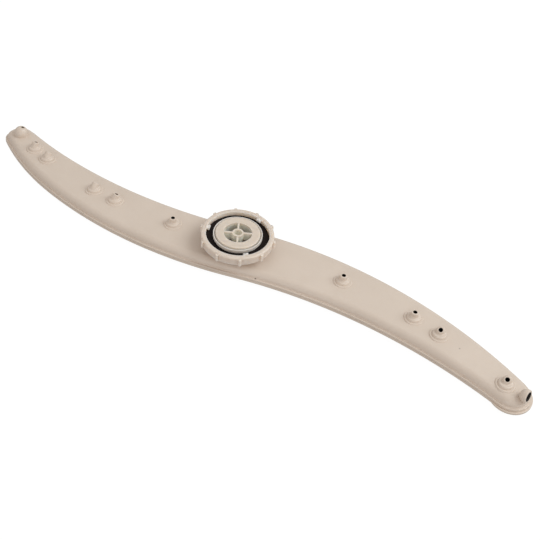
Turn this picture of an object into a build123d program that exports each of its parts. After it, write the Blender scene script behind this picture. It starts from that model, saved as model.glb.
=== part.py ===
from build123d import *
import os
from collections import namedtuple
from math import cos, radians, sqrt, tan

# Dishwasher spray arm: a hollow S-shaped arm welded from two moulded shells, with spray
# nozzles on top and a hub that turns inside a loose bayonet collar.
# Lengths are in millimetres and angles in degrees. The arm lies along X on its flat
# underside, and the hub axis is Z. Positive Y is the far side.

# Plan of the arm: each long edge is full on one wing and hollow on the other
crest_reach = 88.5  # hub axis to the crest of the full edge, along the arm
crest_height = 37.3  # hub axis to that crest, across the arm
crest_radius = 347.4
hollow_reach = 122.0  # hub axis to the deepest point of the hollow edge, along the arm
hollow_height = 7.25  # hub axis to that point, across the arm
tip_reach = 225.2  # hub axis to the centre of the right wing's round tip, along the arm
left_turn_reach = 162.0  # from here to the tip the left wing's full edge turns in more
left_turn_radius = 230.6
left_tip_reach = 226.0  # hub axis to the centre of the left wing's round tip, along the arm
tip_head_ledge = 1.2  # the lower shell's round head at the right tip stands out by this much

# Section of the arm
wall = 2.0
lip_width = 1.8  # flat weld lip left around the domed top
upper_flange = 1.9
lower_flange = 1.7
dome_rise = 5.5  # height and radius of the round shoulder
corner_wall = 1.2  # thinnest wall, where the duct's corner meets the round shoulder
belly_inset = 3.0
belly_depth = 3.0
belly_chamfer = 2.0

# Spray nozzles, moulded with the upper shell
pad_radius = 7.3
pad_height = 0.8
nozzle_root = 2.6  # how far a boss runs down into the rounded shoulder
dome_foot_radius = 5.9
dome_height = 3.9
spout_pivot_height = 2.6
spout_length = 3.8
spout_root = 3.0  # how far a spout runs back into its dome, below its pivot
spout_radius = 2.8
spray_radius = 1.45  # spray holes of the nozzles and the knob

# Knob at the left tip, with a hole that sprays across the arm
knob_in = 3.5  # tip centre to the knob, towards the hub
knob_aside = 1.6
knob_radius = 4.4
knob_height = 2.2  # middle of the ball above the arm's top
knob_root = 4.4  # how far the knob runs down from there, into the shoulder
knob_lean = 40.0
knob_heading = 90.0

# Jet at the right tip, which points outwards along the arm
jet_radius = 4.8
jet_length = 2.4
jet_bore_radius = 3.2
jet_bore_depth = 4.0
jet_feed_radius = 2.0
jet_out = 10.8  # tip centre to the centre of the jet's mouth, along the arm
jet_across = -3.7
jet_above = 3.0  # height of that centre above the arm's top
jet_heading = -12.0
jet_elevation = 14.0

# Hub: the stack of pieces along the axis
pedestal_radius = 19.5
pedestal_height = 6.4
neck_radius = 17.0
end_play = 0.3  # the collar floats by this much above and below
collar_height = 6.5
collar_floor = 1.4
washer_height = 1.4
ring_height = 2.9
ring_web = 1.5
cap_thickness = 2.4

# Hub: radii and clearances
journal_radius = 18.6  # outside of the bearing ring, which runs in the feed pipe
ring_rim = 1.3
cap_groove = 0.5  # groove between the cap's disc and the bearing ring's rim
spigot_radius = 12.5
spigot_wall = 1.8
spigot_length = 7.5  # how far the cap's spigot reaches below its disc
spigot_clearance = 0.1
collar_clearance = 0.3
socket_width = 5.4  # room for the feed pipe between the bearing ring and the collar
collar_wall = 3.5
collar_chamfer = 0.8
washer_clearance = 0.15

# Hub cap: inlet grid
cap_chamfer = 0.4
spoke_count = 4
spoke_width = 1.4
spoke_depth = 7.0
spoke_start = 29.5
boss_radius = 4.35
boss_bore_radius = 3.05
boss_bore_depth = 4.0

# Locking collar: grip ribs outside and bayonet lugs inside
rib_count = 10
rib_start = 90.0
rib_width = 2.2
rib_height = 1.5
rib_set_down = 0.6
rib_chamfer = 0.5
lug_count = 3
lug_start = -162.5
lug_reach = 2.2
lug_width = 3.8
lug_height = 2.0
lug_set_down = 0.2

# Levels along Z, from the underside up
seam_level = belly_depth + lower_flange
lip_level = seam_level + upper_flange
arm_top = lip_level + dome_rise
duct_ceiling = arm_top - wall
pedestal_top = arm_top + pedestal_height
collar_bottom = pedestal_top + end_play
collar_top = collar_bottom + collar_height
washer_bottom = collar_bottom + collar_floor
washer_top = washer_bottom + washer_height
neck_top = washer_top + end_play
ring_top = neck_top + ring_height
cap_seat = neck_top + ring_web
cap_top = cap_seat + cap_thickness

# Radii that follow from their neighbours
duct_room = sqrt((dome_rise - corner_wall) ** 2 - (dome_rise - wall) ** 2)
duct_inset = lip_width + dome_rise - duct_room
dome_cap = dome_height - pad_height
dome_radius = (dome_foot_radius**2 + dome_cap**2) / (2 * dome_cap)
bore_radius = spigot_radius + spigot_clearance
inlet_radius = spigot_radius - spigot_wall
ring_bore_radius = journal_radius - ring_rim
cap_radius = ring_bore_radius - cap_groove
collar_inner_radius = journal_radius + socket_width
collar_outer_radius = collar_inner_radius + collar_wall

# The full edge and the hollow edge are circular arcs that run smoothly into each other
edge_run = crest_reach + hollow_reach
edge_rise = crest_height - hollow_height
radii_sum = (edge_run**2 + edge_rise**2) / (2 * edge_rise)
hollow_radius = radii_sum - crest_radius
crest_centre = Vector(crest_reach, crest_height - crest_radius)
hollow_centre = Vector(-hollow_reach, hollow_height + hollow_radius)
edge_joint = crest_centre + (hollow_centre - crest_centre).normalized() * crest_radius


def far_edge(along):
    """Place of the far long edge across the arm."""
    if along > edge_joint.X:
        return crest_centre.Y + sqrt(crest_radius**2 - (along - crest_centre.X) ** 2)
    return hollow_centre.Y - sqrt(hollow_radius**2 - (along - hollow_centre.X) ** 2)


Bend = namedtuple("Bend", "centre radius")


def tip_bend(reach, full):
    """Round tip at a reach along the arm that touches a wing's full edge and its hollow edge."""
    near_centre = -hollow_centre
    both_radii = full.radius + hollow_radius
    # The tip's radius is a straight-line function of the centre's place across the arm
    slope = (full.centre.Y - near_centre.Y) / both_radii
    level = (
        full.radius**2
        - hollow_radius**2
        - (reach - full.centre.X) ** 2
        + (reach - near_centre.X) ** 2
        - full.centre.Y**2
        + near_centre.Y**2
    ) / (2 * both_radii)
    inner = full.radius - level
    square = 1 - slope**2
    half_linear = inner * slope - full.centre.Y
    constant = (reach - full.centre.X) ** 2 + full.centre.Y**2 - inner**2
    root = sqrt(half_linear**2 - square * constant)
    places = [(-half_linear + sign * root) / square for sign in (-1, 1)]
    centre = Vector(reach, min(places, key=abs))
    return Bend(centre, full.radius - (centre - full.centre).length)


# Bends from the hub out to each tip. The left wing's are those of the wing turned half
# round the hub, where it would lie on the right.
crest = Bend(crest_centre, crest_radius)
right_tip = tip_bend(tip_reach, crest)
turn_start = Vector(left_turn_reach, far_edge(left_turn_reach))
turn_inwards = (crest_centre - turn_start).normalized()
left_turn = Bend(turn_start + turn_inwards * left_turn_radius, left_turn_radius)
left_tip = tip_bend(left_tip_reach, left_turn)


def arc_about(centre, start, end):
    """Arc shorter than half a turn about a centre."""
    radius = (start - centre).length
    middle = centre + (start + end - centre * 2).normalized() * radius
    return ThreePointArc(start, middle, end)


def wing_edges(bends, inset):
    """Edges of one wing drawn in by an inset: over its bends and back along its hollow edge."""
    near_centre = -hollow_centre
    start = crest_centre + (hollow_centre - crest_centre).normalized() * (crest_radius - inset)
    points = [start]
    for bend, following in zip(bends, bends[1:]):
        outwards = (following.centre - bend.centre).normalized()
        points.append(bend.centre + outwards * (bend.radius - inset))
    towards_tip = (bends[-1].centre - near_centre).normalized()
    points.append(near_centre + towards_tip * (hollow_radius + inset))
    points.append(-start)
    centres = [bend.centre for bend in bends] + [near_centre]
    return [arc_about(centre, *ends) for centre, ends in zip(centres, zip(points, points[1:]))]


def outline(inset=0.0):
    """Plan of the arm drawn in by an inset: two S-shaped edges and two round tips."""
    right_wing = wing_edges([crest, right_tip], inset)
    left_wing = wing_edges([crest, left_turn, left_tip], inset)
    return make_face(right_wing + [edge.rotate(Axis.Z, 180) for edge in left_wing])


def midline(along):
    """Middle of the arm between its two long edges."""
    return (far_edge(along) - far_edge(-along)) / 2


def tube(outer, inner, bottom, top):
    """Round tube about the Z axis."""
    return Pos(Z=bottom) * extrude(Circle(outer) - Circle(inner), top - bottom)


def rod(radius, bottom, top):
    """Round rod about the Z axis."""
    return Pos(Z=bottom) * extrude(Circle(radius), top - bottom)


# Nozzles from the left tip to the right one: place along the arm, offset from the midline,
# lean of the spout from upright, heading of that lean, and how far the spout's pivot is set
# back from the boss's middle against that heading
Nozzle = namedtuple("Nozzle", "along aside lean heading set_back")
nozzles = [
    Nozzle(-left_tip_reach + 27.4, 0.8, 26, 82, 0),
    Nozzle(-left_tip_reach + 44.4, 0.6, 45, 90, 0),
    Nozzle(-126.5, 0.45, 45, 90, 0),
    Nozzle(-105.5, 0.8, 28, 66, 0),
    Nozzle(-53.0, 2.1, 0, 0, 0),
    Nozzle(83.8, 0.2, 0, 0, 0),
    Nozzle(tip_reach - 82.6, -0.5, 0, 0, 0),
    Nozzle(tip_reach - 60.9, -1.6, 40, -90, 2.4),
    Nozzle(tip_reach - 6.0, -2.6, 42, -90, 2.5),
]


def nozzle_place(nozzle):
    return Pos(nozzle.along, midline(nozzle.along) + nozzle.aside, arm_top)


def spout_frame(nozzle):
    """Axes of a spout, with their origin at its pivot in the boss."""
    pivot = Pos(-nozzle.set_back, 0, spout_pivot_height)
    return nozzle_place(nozzle) * Rot(Z=nozzle.heading) * pivot * Rot(Y=nozzle.lean)


def nozzle_boss(nozzle):
    """Boss of one nozzle: a round pad, a domed body and a leaning spout."""
    body = rod(dome_foot_radius, -nozzle_root, dome_height)
    body &= Pos(Z=dome_height - dome_radius) * Sphere(dome_radius)
    body += rod(pad_radius, -nozzle_root, pad_height)
    if nozzle.set_back:
        spout = rod(spout_radius, 0, spout_length) + Sphere(spout_radius)
    else:
        spout = rod(spout_radius, -spout_root, spout_length)
    return nozzle_place(nozzle) * body + spout_frame(nozzle) * spout


def knob_frame():
    """Axes at the middle of the left tip's knob, with Z along its spray hole."""
    along = -left_tip_reach + knob_in
    middle = Pos(along, midline(along) + knob_aside, arm_top + knob_height)
    return middle * Rot(Z=knob_heading) * Rot(Y=knob_lean)


def knob_boss():
    """Knob of the left tip: an upright stub with a ball-shaped top."""
    return Pos(knob_frame().position) * (rod(knob_radius, -knob_root, 0) + Sphere(knob_radius))


def spray_hole(frame, lean, length):
    """Straight hole from the duct's ceiling out along a spout or through the knob."""
    depth = frame.position.Z - duct_ceiling
    run_back = depth / cos(radians(lean)) + spray_radius * tan(radians(lean))
    return frame * rod(spray_radius, -run_back, length)


def jet_frame():
    """Axes at the mouth of the tip jet, with Z pointing out of it."""
    mouth = right_tip.centre + Vector(jet_out, jet_across, arm_top + jet_above)
    return Pos(mouth) * Rot(Z=jet_heading) * Rot(Y=90 - jet_elevation)


def jet_boss():
    """Outward jet at the tip: a short barrel with a ball-shaped back."""
    frame = jet_frame()
    barrel = frame * rod(jet_radius, -2 * jet_radius, 0)
    ball = Pos((frame * Pos(Z=-jet_length)).position) * Sphere(jet_radius)
    return frame * rod(jet_radius, -jet_length, 0) + (barrel & ball)


def jet_channel():
    """Water way of the tip jet: a wide mouth and an upright feed from the duct."""
    frame = jet_frame()
    elbow = (frame * Pos(Z=jet_feed_radius - jet_bore_depth)).position
    feed = Pos(elbow.X, elbow.Y, seam_level) * rod(jet_feed_radius, 0, elbow.Z - seam_level)
    return frame * rod(jet_bore_radius, -jet_bore_depth, jet_length) + feed


def make_upper_shell():
    """Domed upper shell with its weld lip, hub pedestal and neck, nozzles, knob and tip jet."""
    dome = extrude(outline(lip_width), upper_flange + dome_rise)
    dome = fillet(dome.faces().sort_by(Axis.Z)[-1].edges(), dome_rise)
    shell = Pos(Z=seam_level) * (extrude(outline(), upper_flange) + dome)
    for nozzle in nozzles:
        shell += nozzle_boss(nozzle)
    shell += knob_boss()
    shell += jet_boss()
    shell += rod(pedestal_radius, duct_ceiling, pedestal_top)
    shell += rod(neck_radius, pedestal_top, neck_top)

    shell -= Pos(Z=seam_level) * extrude(outline(duct_inset), duct_ceiling - seam_level)
    shell -= rod(bore_radius, duct_ceiling, neck_top)
    shell -= tube(
        pedestal_radius - wall, bore_radius + wall, duct_ceiling, pedestal_top - wall
    )
    for nozzle in nozzles:
        shell -= spray_hole(spout_frame(nozzle), nozzle.lean, 2 * spout_length)
    shell -= spray_hole(knob_frame(), knob_lean, 2 * knob_radius)
    shell -= jet_channel()
    return shell


def make_lower_shell():
    """Shallow lower shell: a weld flange with a round head at its right tip, over a dished belly."""
    plan = outline() + Pos(right_tip.centre) * Circle(right_tip.radius + tip_head_ledge)
    shell = Pos(Z=belly_depth) * extrude(plan, lower_flange)
    belly = extrude(outline(belly_inset), belly_depth)
    shell += chamfer(belly.faces().sort_by(Axis.Z)[0].edges(), belly_chamfer)
    return shell - Pos(Z=wall) * extrude(outline(belly_inset + belly_chamfer), seam_level - wall)


def make_hub_cap():
    """Cap in the neck: a flat disc, a spigot, and an inlet grid with a bored middle boss."""
    disc = tube(cap_radius, inlet_radius, cap_seat, cap_top)
    disc = chamfer(disc.faces().sort_by(Axis.Z)[-1].outer_wire().edges(), cap_chamfer)
    spigot_bottom = cap_seat - spigot_length
    cap = disc + tube(spigot_radius, inlet_radius, spigot_bottom, cap_seat)
    cap += rod(boss_radius, cap_top - spoke_depth, cap_top)
    spoke = Box(
        inlet_radius, spoke_width, spoke_depth, align=(Align.MIN, Align.CENTER, Align.MAX)
    )
    for turn in range(spoke_count):
        cap += Pos(Z=cap_top) * Rot(Z=spoke_start + turn * 360 / spoke_count) * spoke
    return cap - rod(boss_bore_radius, cap_top - boss_bore_depth, cap_top)


def make_bearing_ring():
    """Slip ring seated on the neck, with a web under the cap's disc and an upright rim."""
    web = tube(journal_radius, bore_radius, neck_top, cap_seat)
    return web + tube(journal_radius, ring_bore_radius, cap_seat, ring_top)


def make_seal_washer():
    """Flat rubber washer that lies on the collar's floor."""
    return tube(
        collar_inner_radius - washer_clearance,
        neck_radius + collar_clearance,
        washer_bottom,
        washer_top,
    )


def make_locking_collar():
    """Loose collar round the neck: floor, wall, grip ribs and bayonet lugs."""
    collar = rod(collar_outer_radius, collar_bottom, collar_top)
    collar = chamfer(collar.edges().sort_by(Axis.Z)[-1], collar_chamfer)
    rib = Box(
        collar_wall / 2 + rib_height,
        rib_width,
        collar_height - rib_set_down,
        align=(Align.MAX, Align.CENTER, Align.MIN),
    )
    outer_edges = rib.faces().sort_by(Axis.X)[-1].edges()
    rib = chamfer(outer_edges.sort_by(Axis.Z)[1:], rib_chamfer)
    for turn in range(rib_count):
        spin = Rot(Z=rib_start + turn * 360 / rib_count)
        collar += spin * Pos(collar_outer_radius + rib_height, 0, collar_bottom) * rib
    collar -= rod(collar_inner_radius, washer_bottom, collar_top)
    collar -= rod(neck_radius + collar_clearance, collar_bottom, washer_bottom)

    lug = Box(
        lug_reach + collar_wall / 2,
        lug_width,
        lug_height,
        align=(Align.MIN, Align.CENTER, Align.MAX),
    )
    for turn in range(lug_count):
        spin = Rot(Z=lug_start + turn * 360 / lug_count)
        collar += spin * Pos(collar_inner_radius - lug_reach, 0, collar_top - lug_set_down) * lug
    return collar


pieces = {
    "upper_shell": make_upper_shell(),
    "lower_shell": make_lower_shell(),
    "hub_cap": make_hub_cap(),
    "bearing_ring": make_bearing_ring(),
    "seal_washer": make_seal_washer(),
    "locking_collar": make_locking_collar(),
}

os.makedirs("parts", exist_ok=True)
for name, piece in pieces.items():
    export_step(piece, f"parts/{name}.step")
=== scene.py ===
from collections import namedtuple
from math import atan2, cos, pi, radians, sin, sqrt, tan

import bmesh
import bpy
import numpy as np
from mathutils import Matrix, Vector


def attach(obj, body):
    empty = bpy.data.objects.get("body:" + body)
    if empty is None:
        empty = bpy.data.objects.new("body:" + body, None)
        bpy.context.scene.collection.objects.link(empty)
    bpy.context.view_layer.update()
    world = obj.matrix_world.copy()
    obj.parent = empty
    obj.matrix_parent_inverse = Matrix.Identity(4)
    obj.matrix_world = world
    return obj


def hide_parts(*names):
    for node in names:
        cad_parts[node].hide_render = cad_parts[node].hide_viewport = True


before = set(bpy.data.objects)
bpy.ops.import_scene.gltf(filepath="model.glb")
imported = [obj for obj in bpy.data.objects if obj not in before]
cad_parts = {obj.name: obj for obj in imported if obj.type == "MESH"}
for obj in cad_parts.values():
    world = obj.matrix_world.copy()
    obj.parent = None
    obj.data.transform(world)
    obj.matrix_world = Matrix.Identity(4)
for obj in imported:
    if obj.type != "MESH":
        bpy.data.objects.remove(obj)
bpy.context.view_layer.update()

# Dishwasher spray arm. Lengths are in millimetres and angles in degrees until a mesh is made.
MM = 0.001

# Steps of a quarter round, and how far a cutting tool stands clear of what it cuts
quarter_steps = 14
tool_clear = 3.0

# Plan of the arm, as in the solids but for the left wing's blunter end
crest_reach = 88.5
crest_height = 37.3
crest_radius = 347.4
hollow_reach = 122.0
hollow_height = 7.25
tip_reach = 225.2
left_turn_reach = 162.0
left_turn_radius = 230.6
left_tip_reach = 226.0
left_end_reach = 222.3
left_end_radius = 13.7
left_corner_radius = 8.0
tip_head_ledge = 1.2

# Levels and section of the arm
wall = 2.0
belly_depth = 3.0
belly_inset = 3.0
belly_chamfer = 2.0
floor_level = 2.0
seam_level = 4.7
lip_level = 6.6
lip_width = 1.8
lip_set_in = 0.2
dome_rise = 5.5
arm_top = 12.1
duct_ceiling = 10.1
duct_inset = 4.8

# Nozzles, knob and jet
pad_radius = 6.8
pad_foot_radius = 7.2
pad_height = 0.8
pad_sunk = 0.4
pad_rounding = 0.35
pad_inner_radius = 3.9
nozzle_root = 2.6
tier_foot_radius = 5.4
tier_top_radius = 5.0
tier_height = 2.5
tier_rounding = 0.9
crease_fill = 1.3
nozzle_heart_height = 0.9
spout_pivot_height = 2.6
spout_length = 3.8
spout_root_radius = 3.05
spout_hollow_radius = 2.0
spray_radius = 1.45
spray_ease = 0.2
well_radius = 1.7
pale_holes_reach = 100.0  # the left wing's holes beyond this keep the skin's colour inside; the others are painted with shade
knob_in = 5.2
knob_aside = 2.0
knob_radius = 5.6
knob_flat = 0.25
knob_hollow_radius = 2.4
knob_height = 1.8
knob_lean = 20.0
knob_heading = 60.0
jet_radius = 4.8
jet_length = 1.4
jet_bore_radius = 3.2
jet_bore_depth = 4.0
jet_mouth_ease = 0.7
jet_feed_radius = 1.5
jet_feed_back = 4.5
jet_out = 10.8
jet_across = -3.7
jet_above = 3.0
jet_heading = -12.0
jet_elevation = 14.0

# Hub pedestal and neck
pedestal_radius = 19.5
pedestal_top = 18.5
neck_radius = 17.0
neck_top = 21.9
bore_radius = 12.6
journal_radius = 18.6
ring_bore_radius = 17.9
ring_top = 25.0
cap_seat = 23.4

# Camera: the photograph's viewpoint, in metres and degrees
CAMERA_PLACE = Vector((0.2293, -0.40348, 0.45421))
CAMERA_AZIMUTH = 26.25
CAMERA_ELEVATION = 45.03
CAMERA_ROLL = 7.0
CAMERA_LENS = 56.21
SENSOR_WIDTH = 36.0

# Long edges of the plan: circular arcs that run smoothly into each other
edge_run = crest_reach + hollow_reach
edge_rise = crest_height - hollow_height
radii_sum = (edge_run**2 + edge_rise**2) / (2 * edge_rise)
hollow_radius = radii_sum - crest_radius
crest_centre = Vector((crest_reach, crest_height - crest_radius))
hollow_centre = Vector((-hollow_reach, hollow_height + hollow_radius))
edge_joint = crest_centre + (hollow_centre - crest_centre).normalized() * crest_radius

Bend = namedtuple("Bend", "centre radius")
Arc = namedtuple("Arc", "centre radius fullness start sweep steps")


def far_edge(along):
    """Place of the far long edge across the arm."""
    if along > edge_joint.x:
        return crest_centre.y + sqrt(crest_radius**2 - (along - crest_centre.x) ** 2)
    return hollow_centre.y - sqrt(hollow_radius**2 - (along - hollow_centre.x) ** 2)


def midline(along):
    return (far_edge(along) - far_edge(-along)) / 2


def tip_bend(reach, full):
    """Round tip at a reach along the arm that touches a wing's full edge and its hollow edge."""
    near = -hollow_centre
    both_radii = full.radius + hollow_radius
    slope = (full.centre.y - near.y) / both_radii
    level = full.radius**2 - hollow_radius**2 - (reach - full.centre.x) ** 2
    level += (reach - near.x) ** 2 - full.centre.y**2 + near.y**2
    inner = full.radius - level / (2 * both_radii)
    square = 1 - slope**2
    half_linear = inner * slope - full.centre.y
    constant = (reach - full.centre.x) ** 2 + full.centre.y**2 - inner**2
    root = sqrt(half_linear**2 - square * constant)
    places = [(-half_linear + sign * root) / square for sign in (-1, 1)]
    centre = Vector((reach, min(places, key=abs)))
    return Bend(centre, full.radius - (centre - full.centre).length)


def end_bend(reach, radius):
    """Round end of a set radius at a reach along the arm that touches a wing's hollow edge."""
    near = -hollow_centre
    rise = sqrt((hollow_radius + radius) ** 2 - (reach - near.x) ** 2)
    return Bend(Vector((reach, near.y + rise)), radius)


def corner_bend(radius, full, end):
    """Round corner where a wing's full edge runs into its wider round end."""
    to_full = full.centre - end.centre
    apart = to_full.length
    end_room = end.radius - radius
    full_room = full.radius - radius
    along = (end_room**2 - full_room**2 + apart**2) / (2 * apart)
    aside = sqrt(end_room**2 - along**2)
    towards = to_full / apart
    foot = end.centre + towards * along
    sideways = Vector((-towards.y, towards.x)) * aside
    centre = max((foot + sideways, foot - sideways), key=lambda place: place.x)
    return Bend(centre, radius)


# Bends from the hub out to each tip, the left wing's as if turned half round the hub
crest = Bend(crest_centre, crest_radius)
right_tip = tip_bend(tip_reach, crest)
turn_start = Vector((left_turn_reach, far_edge(left_turn_reach)))
left_turn_centre = turn_start + (crest_centre - turn_start).normalized() * left_turn_radius
left_turn = Bend(left_turn_centre, left_turn_radius)
left_end = end_bend(left_end_reach, left_end_radius)
left_corner = corner_bend(left_corner_radius, left_turn, left_end)


def wing_arcs(bends, turned):
    """Arcs of one wing: over its bends to the tip, and back along its hollow edge."""
    near = -hollow_centre
    points = [edge_joint]
    for bend, following in zip(bends, bends[1:]):
        wide, tight = sorted((bend, following), key=lambda one: -one.radius)
        points.append(wide.centre + (tight.centre - wide.centre).normalized() * wide.radius)
    points.append(near + (bends[-1].centre - near).normalized() * hollow_radius)
    points.append(-edge_joint)
    arcs = []
    for index, bend in enumerate(bends + [Bend(near, hollow_radius)]):
        start, end = [
            atan2(*(point - bend.centre).yx) for point in (points[index], points[index + 1])
        ]
        sweep = (end - start + pi) % (2 * pi) - pi
        steps = max(12, round(bend.radius * abs(sweep) / 4.5), round(abs(sweep) / radians(5)))
        fullness = -1 if index == len(bends) else 1
        centre = -bend.centre if turned else bend.centre
        arcs.append(Arc(centre, bend.radius, fullness, start + turned * pi, sweep, steps))
    return arcs


plan_arcs = wing_arcs([crest, right_tip], False)
plan_arcs += wing_arcs([crest, left_turn, left_corner, left_end], True)


def plan_ring(inset, level):
    """Points of the arm's plan drawn in by an inset, at a level."""
    ring = []
    for arc in plan_arcs:
        radius = arc.radius - arc.fullness * inset
        for step in range(arc.steps):
            turn = arc.start + arc.sweep * step / arc.steps
            ring.append(
                Vector((arc.centre.x + radius * cos(turn), arc.centre.y + radius * sin(turn), level))
            )
    return ring


def circle_ring(radius, level, count):
    turns = [2 * pi * step / count for step in range(count)]
    return [Vector((radius * cos(turn), radius * sin(turn), level)) for turn in turns]


def rounded(corners, steps=4):
    """Profile through corners given as across, up and the radius that rounds them."""
    points = []
    for index, (across, up, radius) in enumerate(corners):
        here = Vector((across, up))
        if not radius:
            points.append(here)
            continue
        back = (Vector(corners[index - 1][:2]) - here).normalized()
        onward = (Vector(corners[index + 1][:2]) - here).normalized()
        half = back.angle(onward) / 2
        centre = here + (back + onward).normalized() * (radius / sin(half))
        first = here + back * (radius / tan(half)) - centre
        last = here + onward * (radius / tan(half)) - centre
        start = atan2(first.y, first.x)
        sweep = (atan2(last.y, last.x) - start + pi) % (2 * pi) - pi
        for step in range(steps + 1):
            turn = start + sweep * step / steps
            points.append(centre + Vector((cos(turn), sin(turn))) * radius)
    return points


def loft(name, rings, place=Matrix.Identity(4), ring_shaped=False):
    """Closed mesh through rings with the same number of points, capped unless it is ring-shaped."""
    form = bmesh.new()
    loops = [[form.verts.new((place @ point) * MM) for point in ring] for ring in rings]
    pairs = list(zip(loops, loops[1:]))
    if ring_shaped:
        pairs.append((loops[-1], loops[0]))
    else:
        caps = [form.faces.new(loops[0]), form.faces.new(loops[-1])]
        bmesh.ops.triangulate(form, faces=caps)
    for lower, upper in pairs:
        for index in range(len(lower)):
            form.faces.new((lower[index - 1], lower[index], upper[index], upper[index - 1]))
    bmesh.ops.recalc_face_normals(form, faces=form.faces)
    mesh = bpy.data.meshes.new(name)
    form.to_mesh(mesh)
    form.free()
    made = bpy.data.objects.new(name, mesh)
    bpy.context.scene.collection.objects.link(made)
    return made


def lathe(name, profile, place=Matrix.Identity(4), count=64, ring_shaped=False):
    """Closed mesh turned about Z from a profile of radius and height."""
    rings = [circle_ring(radius, level, count) for radius, level in profile]
    return loft(name, rings, place, ring_shaped)


def plan_loft(name, profile):
    """Closed mesh that follows the arm's plan with a profile of inset and level."""
    return loft(name, [plan_ring(inset, level) for inset, level in profile])


def combine(target, operation, tools):
    """Boolean of a mesh with several others in turn, which are then removed."""
    for tool in tools:
        change = target.modifiers.new("change", "BOOLEAN")
        change.operation = operation
        change.object = tool
        change.solver = "MANIFOLD"
        change.material_mode = "TRANSFER"
        evaluated = target.evaluated_get(bpy.context.evaluated_depsgraph_get())
        mesh = bpy.data.meshes.new_from_object(evaluated)
        target.modifiers.clear()
        target.data = mesh
        bpy.data.objects.remove(tool)


def finish_surface(piece, sharp_angle=38):
    """Smooth shading with crisp creases."""
    form = bmesh.new()
    form.from_mesh(piece.data)
    large = [face for face in form.faces if len(face.verts) > 4]
    bmesh.ops.triangulate(form, faces=large)
    form.to_mesh(piece.data)
    form.free()
    piece.data.shade_smooth()
    piece.data.set_sharp_from_angle(angle=radians(sharp_angle))
    weigh = piece.modifiers.new("even_normals", "WEIGHTED_NORMAL")
    weigh.mode = "FACE_AREA_WITH_ANGLE"
    weigh.keep_sharp = True


# Nozzles from the left tip to the right one, as in the solids, with the radius and the
# rounding of each spout's tip
Nozzle = namedtuple("Nozzle", "along aside lean heading set_back tip_radius rounding")
nozzles = [
    Nozzle(-left_tip_reach + 27.4, 0.8, 26, 82, 0, 2.7, 0.35),
    Nozzle(-left_tip_reach + 44.4, 0.6, 45, 90, 0, 2.7, 0.35),
    Nozzle(-126.5, 0.45, 45, 90, 0, 2.7, 0.35),
    Nozzle(-105.5, 0.8, 28, 66, 0, 2.7, 0.35),
    Nozzle(-53.0, 2.1, 0, 0, 0, 2.6, 0.3),
    Nozzle(83.8, 0.2, 0, 0, 0, 2.6, 0.3),
    Nozzle(tip_reach - 82.6, -0.5, 0, 0, 0, 2.6, 0.3),
    Nozzle(tip_reach - 60.9, -1.6, 40, -90, 2.4, 2.8, 0.8),
    Nozzle(tip_reach - 6.0, -2.6, 42, -90, 2.5, 2.8, 0.8),
]


def turned_about_z(angle):
    return Matrix.Rotation(radians(angle), 4, "Z")


def leaning(angle):
    return Matrix.Rotation(radians(angle), 4, "Y")


def boss_place(nozzle):
    """Axes of a nozzle's boss on the arm's top, with X along the heading of its spout."""
    middle = Vector((nozzle.along, midline(nozzle.along) + nozzle.aside, arm_top))
    return Matrix.Translation(middle) @ turned_about_z(nozzle.heading)


def spout_place(nozzle):
    pivot = Matrix.Translation((-nozzle.set_back, 0, spout_pivot_height))
    return boss_place(nozzle) @ pivot @ leaning(nozzle.lean)


def knob_place():
    along = -left_tip_reach + knob_in
    return Matrix.Translation((along, midline(along) + knob_aside, arm_top + knob_height))


def jet_place():
    mouth = right_tip.centre.to_3d() + Vector((jet_out, jet_across, arm_top + jet_above))
    return Matrix.Translation(mouth) @ turned_about_z(jet_heading) @ leaning(90 - jet_elevation)


def smooth_least(first, second, blend):
    """Smaller of two distances, with the crease between them filled."""
    overlap = np.maximum(blend - np.abs(first - second), 0) / blend
    return np.minimum(first, second) - overlap**2 * blend / 4


def round_edge(across, up, radius):
    """Distance to a body below a face and inside a wall, with a round edge between the two."""
    across = across + radius
    up = up + radius
    outside = np.hypot(np.maximum(across, 0), np.maximum(up, 0))
    return outside + np.minimum(np.maximum(across, up), 0) - radius


def boss_distance(points, nozzle, pivot, axis):
    """Distance to a nozzle above its pad: a round tier and a leaning spout with a flared root."""
    away = np.hypot(points[..., 0], points[..., 1])
    height = points[..., 2]
    rise = np.clip((height - pad_height) / (tier_height - pad_height), 0, 1)
    tier_wall = tier_foot_radius + (tier_top_radius - tier_foot_radius) * rise
    tier = round_edge(away - tier_wall, height - tier_height, tier_rounding)
    from_pivot = points - pivot
    along = from_pivot @ axis
    off_axis = np.linalg.norm(from_pivot - along[..., None] * axis, axis=-1)
    taper = np.clip(along / spout_length, 0, 1)
    spout_wall = spout_root_radius + (nozzle.tip_radius - spout_root_radius) * taper
    spout = round_edge(off_axis - spout_wall, along - spout_length, nozzle.rounding)
    spout = np.where(along < 0, np.linalg.norm(from_pivot, axis=-1) - spout_root_radius, spout)
    return smooth_least(tier, spout, crease_fill)


def pad(nozzle):
    """Low sloped disc that a nozzle stands on."""
    slope = (pad_foot_radius - pad_radius) / pad_height
    root_radius = pad_foot_radius + slope * pad_sunk
    profile = rounded(
        [
            (root_radius, -nozzle_root, 0),
            (root_radius, -pad_sunk, 0),
            (pad_radius, pad_height, pad_rounding),
            (pad_inner_radius, pad_height, 0),
        ]
    )
    return lathe("pad", profile, boss_place(nozzle), 72)


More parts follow.
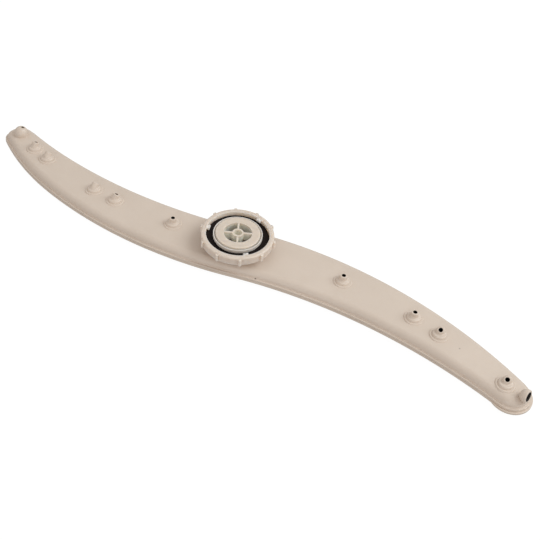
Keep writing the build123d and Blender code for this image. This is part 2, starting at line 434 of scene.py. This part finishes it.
def boss(nozzle, columns=64):
    """Tier and spout of a nozzle, whose surface is found along rays from a point inside it."""
    lean = radians(nozzle.lean)
    heart = np.array((-nozzle.set_back / 2, 0, nozzle_heart_height))
    pivot = np.array((-nozzle.set_back, 0, spout_pivot_height))
    axis = np.array((sin(lean), 0, cos(lean)))
    across = np.array((cos(lean), 0, -sin(lean)))
    turns = np.arange(columns) * 2 * pi / columns
    aside = np.array((0, 1, 0))
    spin = np.cos(turns)[:, None] * across + np.sin(turns)[:, None] * aside
    flat = np.stack((np.cos(turns), np.sin(turns), np.zeros(columns)), axis=1)
    up = np.array((0, 0, 1))
    tip = pivot + spout_length * axis
    # Rings of points that the rays pass through, from inside the spray hole down to the pad
    targets = [
        tip + 0.6 * spray_radius * spin,
        tip + nozzle.tip_radius * spin,
        pivot + 0.45 * spout_length * axis + spout_root_radius * spin,
        0.7 * tier_top_radius * flat + tier_height * up,
        tier_top_radius * flat + tier_height * up,
        tier_foot_radius * flat + pad_height * up,
    ]
    steps_between = (6, 9, 8, 8, 8)
    rays = [targets[0]]
    for first, last, steps in zip(targets, targets[1:], steps_between):
        for step in range(1, steps + 1):
            share = 0.5 - 0.5 * cos(pi * step / steps)
            rays.append(first + share * (last - first))
    rays = np.array(rays) - heart
    rays /= np.linalg.norm(rays, axis=-1, keepdims=True)
    # March outwards in small steps to leave the body, then halve the last step
    stride = 0.1
    nearest = 0.5
    furthest = 13
    halvings = 24
    inside = np.full(rays.shape[:2], nearest)
    outside = inside.copy()
    searching = np.ones(rays.shape[:2], bool)
    for reach in np.arange(nearest + stride, furthest, stride):
        gap = boss_distance(heart + rays * reach, nozzle, pivot, axis)
        inside = np.where(searching & (gap < 0), reach, inside)
        outside = np.where(searching, reach, outside)
        searching &= gap < 0
    for halving in range(halvings):
        middle = (inside + outside) / 2
        gap = boss_distance(heart + rays * middle[..., None], nozzle, pivot, axis)
        inside = np.where(gap < 0, middle, inside)
        outside = np.where(gap < 0, outside, middle)
    surface = heart + rays * inside[..., None]
    rings = [[Vector(point) for point in ring] for ring in surface]
    # The body goes on straight down into the arm's wall
    rings.append([Vector(point) for point in tier_foot_radius * flat - nozzle_root * up])
    return loft("boss", rings, boss_place(nozzle))


def spray_cutters(place, length, hollow_radius):
    """Drill with an eased mouth and a wider hollow, and an upright well that feeds it from the duct."""
    lip = 0.6
    step = 0.5
    mouth_radius = spray_radius + spray_ease
    profile = [
        (hollow_radius, -1.0),
        (hollow_radius, length - lip - step),
        (spray_radius, length - lip),
        (spray_radius, length - 0.75 * spray_ease),
        (spray_radius + 0.25 * spray_ease, length - 0.3 * spray_ease),
        (mouth_radius, length + 0.25 * spray_ease),
        (mouth_radius, length + tool_clear),
    ]
    foot = place.translation
    upright = Matrix.Translation((foot.x, foot.y, 0))
    well = [(well_radius, duct_ceiling - 1), (well_radius, foot.z)]
    return [lathe("drill", profile, place, 40), lathe("well", well, upright, 40)]


def make_upper_shell(skin, inside):
    """Domed upper half with its nozzles, knob, jet and hub; most spray holes and the jet's mouth and
    feed are painted near-black inside, as painted shade.
    """
    profile = rounded(
        [
            (3.0, seam_level, 0),
            (lip_set_in, seam_level, 0.25),
            (lip_set_in, lip_level, 0.3),
            (lip_width, lip_level, 0.3),
            (lip_width, lip_level + 1, 0),
        ]
    )[:-1]
    quarter = [pi / 2 * step / quarter_steps for step in range(1, quarter_steps + 1)]
    for turn in quarter:
        profile.append(
            (lip_width + dome_rise * (1 - cos(turn)), lip_level + dome_rise * sin(turn))
        )
    shell = plan_loft("upper_shell_form", profile)

    knob = [(knob_radius, -knob_height - nozzle_root), (knob_radius, -0.001)]
    # The knob's round stops a little short of its pole, inside the spray hole
    for turn in quarter:
        short_turn = turn * quarter_steps / (quarter_steps + 0.5)
        knob.append((knob_radius * cos(short_turn), knob_radius * sin(short_turn)))
    jet = [(jet_radius * sin(turn), -jet_length - jet_radius * cos(turn)) for turn in quarter]
    jet += rounded([(jet_radius, -jet_length, 0), (jet_radius, 0, 0.5), (jet_bore_radius, 0, 0)])[1:]
    hub = rounded(
        [
            (pedestal_radius, duct_ceiling - 1, 0),
            (pedestal_radius, pedestal_top, 0.4),
            (neck_radius, pedestal_top, 0.3),
            (neck_radius, neck_top, 0.3),
            (bore_radius - 1, neck_top, 0),
        ]
    )
    parts = [pad(nozzle) for nozzle in nozzles]
    parts += [boss(nozzle) for nozzle in nozzles]
    parts.append(lathe("knob", knob, knob_place(), 72))
    parts.append(lathe("jet", jet, jet_place(), 72))
    parts.append(lathe("hub", hub, count=128))
    combine(shell, "UNION", parts)

    cutters = [plan_loft("duct", [(duct_inset, seam_level - 1), (duct_inset, duct_ceiling)])]
    bore = [(bore_radius, duct_ceiling - tool_clear), (bore_radius, neck_top + tool_clear)]
    cutters.append(lathe("bore", bore, count=128))
    # Tools whose cut faces are painted near-black, as painted shade inside the holes
    shade_painted_cutters = []
    for nozzle in nozzles:
        holes = spray_cutters(spout_place(nozzle), spout_length, spout_hollow_radius)
        if nozzle.along < -pale_holes_reach:
            cutters += holes
        else:
            shade_painted_cutters += holes
    knob_axes = knob_place() @ turned_about_z(knob_heading) @ leaning(knob_lean)
    cutters += spray_cutters(knob_axes, knob_radius - knob_flat, knob_hollow_radius)
    mouth = rounded(
        [
            (jet_bore_radius, -jet_bore_depth, 0),
            (jet_bore_radius, 0, 0.3),
            (jet_bore_radius + jet_mouth_ease, 0.001, 0),
            (jet_bore_radius + jet_mouth_ease, tool_clear, 0),
        ]
    )
    shade_painted_cutters.append(lathe("mouth", mouth, jet_place(), 72))
    elbow = jet_place() @ Vector((0, 0, -jet_feed_back))
    feed = Matrix.Translation((elbow.x, elbow.y, 0))
    shade_painted_cutters.append(lathe("feed", [(jet_feed_radius, seam_level), (jet_feed_radius, elbow.z)], feed, 40))
    hollow = [
        (pedestal_radius - wall, duct_ceiling - 1),
        (pedestal_radius - wall, pedestal_top - wall),
        (bore_radius + wall, pedestal_top - wall),
        (bore_radius + wall, duct_ceiling - 1),
    ]
    cutters.append(lathe("hollow", hollow, count=128, ring_shaped=True))
    # The painted shade colour goes onto these tools, so that the faces they cut carry it
    for tool in shade_painted_cutters:
        tool.data.materials.append(inside)
    for piece in [shell] + cutters:
        piece.data.materials.clear()
        piece.data.materials.append(skin)
    combine(shell, "DIFFERENCE", cutters + shade_painted_cutters)
    return shell


def make_bearing_ring(skin):
    """Slip ring with a web under the cap's disc and an upright rim with a round shoulder."""
    profile = rounded(
        [
            (bore_radius, neck_top, 0),
            (journal_radius - 0.2, neck_top, 0),
            (journal_radius, neck_top + 0.2, 0),
            (journal_radius, ring_top, 0.3),
            (ring_bore_radius, ring_top, 0.25),
            (ring_bore_radius, cap_seat, 0),
            (bore_radius, cap_seat, 0),
        ],
        6,
    )
    ring = lathe("bearing_ring_form", profile, count=160, ring_shaped=True)
    ring.data.materials.append(skin)
    return ring


def make_lower_shell(skin):
    """Shallow tray with a weld flange, a chamfered belly and a round head at the right tip."""
    edge = 0.25
    inner = belly_inset + belly_chamfer
    profile = rounded(
        [
            (inner + 0.001, floor_level, 0),
            (inner, seam_level, 0),
            (0, seam_level, edge),
            (0, belly_depth, edge),
            (belly_inset, belly_depth, 0.4),
            (belly_inset, belly_chamfer, 0.8),
            (inner, 0, 0.8),
            (inner + 2, 0, 0),
        ]
    )
    shell = plan_loft("lower_shell_form", profile)
    head_radius = right_tip.radius + tip_head_ledge
    head = rounded(
        [
            (head_radius - 3, belly_depth, 0),
            (head_radius, belly_depth, edge),
            (head_radius, seam_level, edge),
            (head_radius - 5, seam_level, 0),
        ]
    )
    combine(shell, "UNION", [lathe("head", head, Matrix.Translation(right_tip.centre.to_3d()), 96)])
    room = plan_loft("room", [(inner, floor_level), (inner, seam_level + 1)])
    combine(shell, "DIFFERENCE", [room])
    shell.data.materials.clear()
    shell.data.materials.append(skin)
    return shell


def soften_solid(node, width):
    """Eased edges and even shading on one of the solids, by modifiers only."""
    weld = node.modifiers.new("weld", "WELD")
    weld.merge_threshold = 0.003 * MM
    flatten = node.modifiers.new("flatten", "DECIMATE")
    flatten.decimate_type = "DISSOLVE"
    flatten.angle_limit = radians(0.8)
    ease = node.modifiers.new("ease", "BEVEL")
    ease.width = width * MM
    ease.segments = 3
    ease.limit_method = "ANGLE"
    ease.angle_limit = radians(32)
    ease.harden_normals = False
    node.data.shade_smooth()
    weigh = node.modifiers.new("even_normals", "WEIGHTED_NORMAL")
    weigh.keep_sharp = True


def add_camera():
    azimuth, elevation, roll = map(radians, (CAMERA_AZIMUTH, CAMERA_ELEVATION, CAMERA_ROLL))
    back = Vector((sin(azimuth) * cos(elevation), -cos(azimuth) * cos(elevation), sin(elevation)))
    level = Vector((cos(azimuth), sin(azimuth), 0.0))
    upright = back.cross(level)
    right = level * cos(roll) + upright * sin(roll)
    up = upright * cos(roll) - level * sin(roll)
    data = bpy.data.cameras.new("photo_camera")
    data.lens = CAMERA_LENS
    data.sensor_width = SENSOR_WIDTH
    data.sensor_fit = "HORIZONTAL"
    camera = bpy.data.objects.new("photo_camera", data)
    axes = Matrix((right, up, back)).transposed()
    camera.matrix_world = Matrix.Translation(CAMERA_PLACE) @ axes.to_4x4()
    bpy.context.scene.collection.objects.link(camera)
    bpy.context.scene.camera = camera


def plastic(name, pale, deep, roughness, subsurface, scatter, grain):
    """Satin plastic: a soft mottle between two colours, uneven gloss and a fine moulded grain."""
    material = bpy.data.materials.new(name)
    material.use_nodes = True
    tree = material.node_tree
    shader = tree.nodes["Principled BSDF"]
    place = tree.nodes.new("ShaderNodeTexCoord").outputs["Object"]

    def noise(scale, detail):
        node = tree.nodes.new("ShaderNodeTexNoise")
        node.inputs["Scale"].default_value = scale
        node.inputs["Detail"].default_value = detail
        tree.links.new(place, node.inputs["Vector"])
        return node.outputs["Fac"]

    mottle = tree.nodes.new("ShaderNodeValToRGB")
    mottle.color_ramp.elements[0].position = 0.3
    mottle.color_ramp.elements[0].color = (*deep, 1)
    mottle.color_ramp.elements[1].position = 0.7
    mottle.color_ramp.elements[1].color = (*pale, 1)
    tree.links.new(noise(45, 4), mottle.inputs["Fac"])
    tree.links.new(mottle.outputs["Color"], shader.inputs["Base Color"])

    gloss = tree.nodes.new("ShaderNodeMapRange")
    gloss.inputs["To Min"].default_value = roughness - 0.08
    gloss.inputs["To Max"].default_value = roughness + 0.08
    tree.links.new(noise(160, 3), gloss.inputs["Value"])
    tree.links.new(gloss.outputs["Result"], shader.inputs["Roughness"])

    bump = tree.nodes.new("ShaderNodeBump")
    bump.inputs["Strength"].default_value = 0.35
    bump.inputs["Distance"].default_value = grain * MM
    tree.links.new(noise(1600, 2), bump.inputs["Height"])
    tree.links.new(bump.outputs["Normal"], shader.inputs["Normal"])

    shader.inputs["Subsurface Weight"].default_value = subsurface
    shader.inputs["Subsurface Radius"].default_value = (1.0, 0.95, 0.85)
    shader.inputs["Subsurface Scale"].default_value = scatter * MM
    return material


def mark_and_painted_light(material, centre, spread, near, far, colour):
    """Mix a colour into a plastic round a place, used both for real marks and for painted light; a
    spread of zero leaves an axis out of the distance.
    """
    tree = material.node_tree
    base = tree.nodes["Principled BSDF"].inputs["Base Color"]
    place = tree.nodes.new("ShaderNodeTexCoord").outputs["Object"]
    squash = tree.nodes.new("ShaderNodeVectorMath")
    squash.operation = "MULTIPLY"
    squash.inputs[1].default_value = spread
    away = tree.nodes.new("ShaderNodeVectorMath")
    away.operation = "DISTANCE"
    away.inputs[1].default_value = Vector(centre) * Vector(spread) * MM
    mask = tree.nodes.new("ShaderNodeMapRange")
    mask.inputs["From Min"].default_value = near * MM
    mask.inputs["From Max"].default_value = far * MM
    mask.inputs["To Min"].default_value = 1
    mask.inputs["To Max"].default_value = 0
    mix = tree.nodes.new("ShaderNodeMixRGB")
    mix.inputs["Color2"].default_value = (*colour, 1)
    tree.links.new(base.links[0].from_socket, mix.inputs["Color1"])
    tree.links.new(place, squash.inputs[0])
    tree.links.new(squash.outputs["Vector"], away.inputs[0])
    tree.links.new(away.outputs["Value"], mask.inputs["Value"])
    tree.links.new(mask.outputs["Result"], mix.inputs["Fac"])
    tree.links.new(mix.outputs["Color"], base)


def add_area_light(name, place, target, size, power, colour=(1, 1, 1)):
    data = bpy.data.lights.new(name, "AREA")
    data.shape = "DISK"
    data.size = size
    data.energy = power
    data.color = colour
    light = bpy.data.objects.new(name, data)
    light.location = place
    aim = Vector(target) - Vector(place)
    light.rotation_euler = aim.to_track_quat("-Z", "Y").to_euler()
    bpy.context.scene.collection.objects.link(light)


def add_floor():
    """Pale sweep that glows by itself and is left out of the light that falls on the arm."""
    bpy.ops.mesh.primitive_plane_add(size=40.0, location=(0, 0, -0.3 * MM))
    floor = bpy.context.active_object
    floor.name = "floor"
    material = bpy.data.materials.new("floor")
    material.use_nodes = True
    shader = material.node_tree.nodes["Principled BSDF"]
    shader.inputs["Base Color"].default_value = (0.1, 0.1, 0.1, 1)
    shader.inputs["Roughness"].default_value = 0.9
    shader.inputs["Specular IOR Level"].default_value = 0.0
    shader.inputs["Emission Color"].default_value = (1, 1, 1, 1)
    shader.inputs["Emission Strength"].default_value = 0.95
    floor.data.materials.append(material)
    lit_by_floor = bpy.data.collections.new("lit_by_floor")
    lit_by_floor.objects.link(floor)
    floor.light_linking.receiver_collection = lit_by_floor
    return floor


def add_table_light(floor, radiance):
    """Weak light from under the sweep, which only the arm itself can block."""
    data = bpy.data.lights.new("table_light", "AREA")
    data.shape = "SQUARE"
    data.size = 3.0
    data.energy = radiance * pi * data.size**2
    light = bpy.data.objects.new("table_light", data)
    light.location = (0, 0, -0.02)
    light.rotation_euler = (pi, 0, 0)
    bpy.context.scene.collection.objects.link(light)
    open_to_light = bpy.data.collections.new("open_to_light")
    open_to_light.objects.link(floor)
    open_to_light.collection_objects[0].light_linking.link_state = "EXCLUDE"
    light.light_linking.blocker_collection = open_to_light


# Pale and deep colour, roughness, share and reach of the light that enters, and height of the grain
arm = plastic("arm_skin", (0.682, 0.570, 0.479), (0.654, 0.545, 0.456), 0.45, 0.15, 1.2, 0.03)
# Painted shade: near-black colour for the walls of most spray holes and of the jet's mouth and feed,
# standing in for the shadow inside them
inside = plastic("spray_hole_painted_shade", (0.030, 0.024, 0.019), (0.018, 0.014, 0.011), 0.6, 0, 1, 0.03)
cap = plastic("cap_skin_with_painted_light", (0.715, 0.610, 0.515), (0.69, 0.585, 0.49), 0.45, 0.8, 4.0, 0.03)
collar = plastic("collar_skin_with_painted_light", (0.69, 0.585, 0.505), (0.665, 0.56, 0.48), 0.42, 0.9, 6.0, 0.03)
ring = plastic("ring_skin", (0.76, 0.69, 0.63), (0.73, 0.66, 0.60), 0.4, 0.6, 3.0, 0.02)
rubber = plastic("rubber_skin", (0.018, 0.012, 0.011), (0.011, 0.007, 0.006), 0.7, 0, 1, 0.05)
rubber.node_tree.nodes["Principled BSDF"].inputs["Specular IOR Level"].default_value = 0.12

# Marks on the arm in the photograph, and painted light: the insides of the inlet and the collar painted
# paler, as if lit
mark_and_painted_light(arm, (27.4, -16.7, 6.7), (1, 1, 1), 0.35, 0.8, (0.16, 0.12, 0.10))
mark_and_painted_light(arm, (181.3, 5.1, 12.1), (1, 1, 1), 0.3, 0.8, (0.42, 0.35, 0.29))
# Painted light: the inlet's inside, below the disc, painted paler and greyer
mark_and_painted_light(cap, (0, 0, 17), (0, 0, 1), 6.5, 8.2, (0.80, 0.765, 0.675))
# Painted light: the collar's inner wall, inside a radius of 24 mm, painted paler
mark_and_painted_light(collar, (0, 0, 0), (1, 1, 0), 24.02, 24.2, (0.86, 0.74, 0.655))

made_pieces = {
    "upper_shell": (make_upper_shell(arm, inside), "arm_plastic"),
    "lower_shell": (make_lower_shell(arm), "arm_plastic"),
    "bearing_ring": (make_bearing_ring(ring), "ring_plastic"),
}
for name, (piece, slot_name) in made_pieces.items():
    finish_surface(piece)
    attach(piece, "arm")
    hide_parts(name)

hub_finish = {
    "hub_cap": (cap, 0.22),
    "seal_washer": (rubber, 0.15),
    "locking_collar": (collar, 0.3),
}
for name, (material, width) in hub_finish.items():
    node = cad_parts[name]
    node.data.materials.clear()
    node.data.materials.append(material)
    soften_solid(node, width)

floor = add_floor()
add_table_light(floor, 0.32)
add_camera()
cool_white = (0.88, 0.96, 1.0)
add_area_light("key", (1.25, 0.75, 1.45), (0, 0, 0), size=1.5, power=22.0, colour=cool_white)
add_area_light("fill", (0.35, -1.6, 0.32), (0, 0, 0.01), size=0.6, power=4.4)
world = bpy.data.worlds.new("studio")
world.use_nodes = True
background = world.node_tree.nodes["Background"]
background.inputs["Color"].default_value = (1, 0.985, 0.965, 1)
background.inputs["Strength"].default_value = 0.645
bpy.context.scene.world = world
bpy.context.scene.view_settings.view_transform = "Standard"
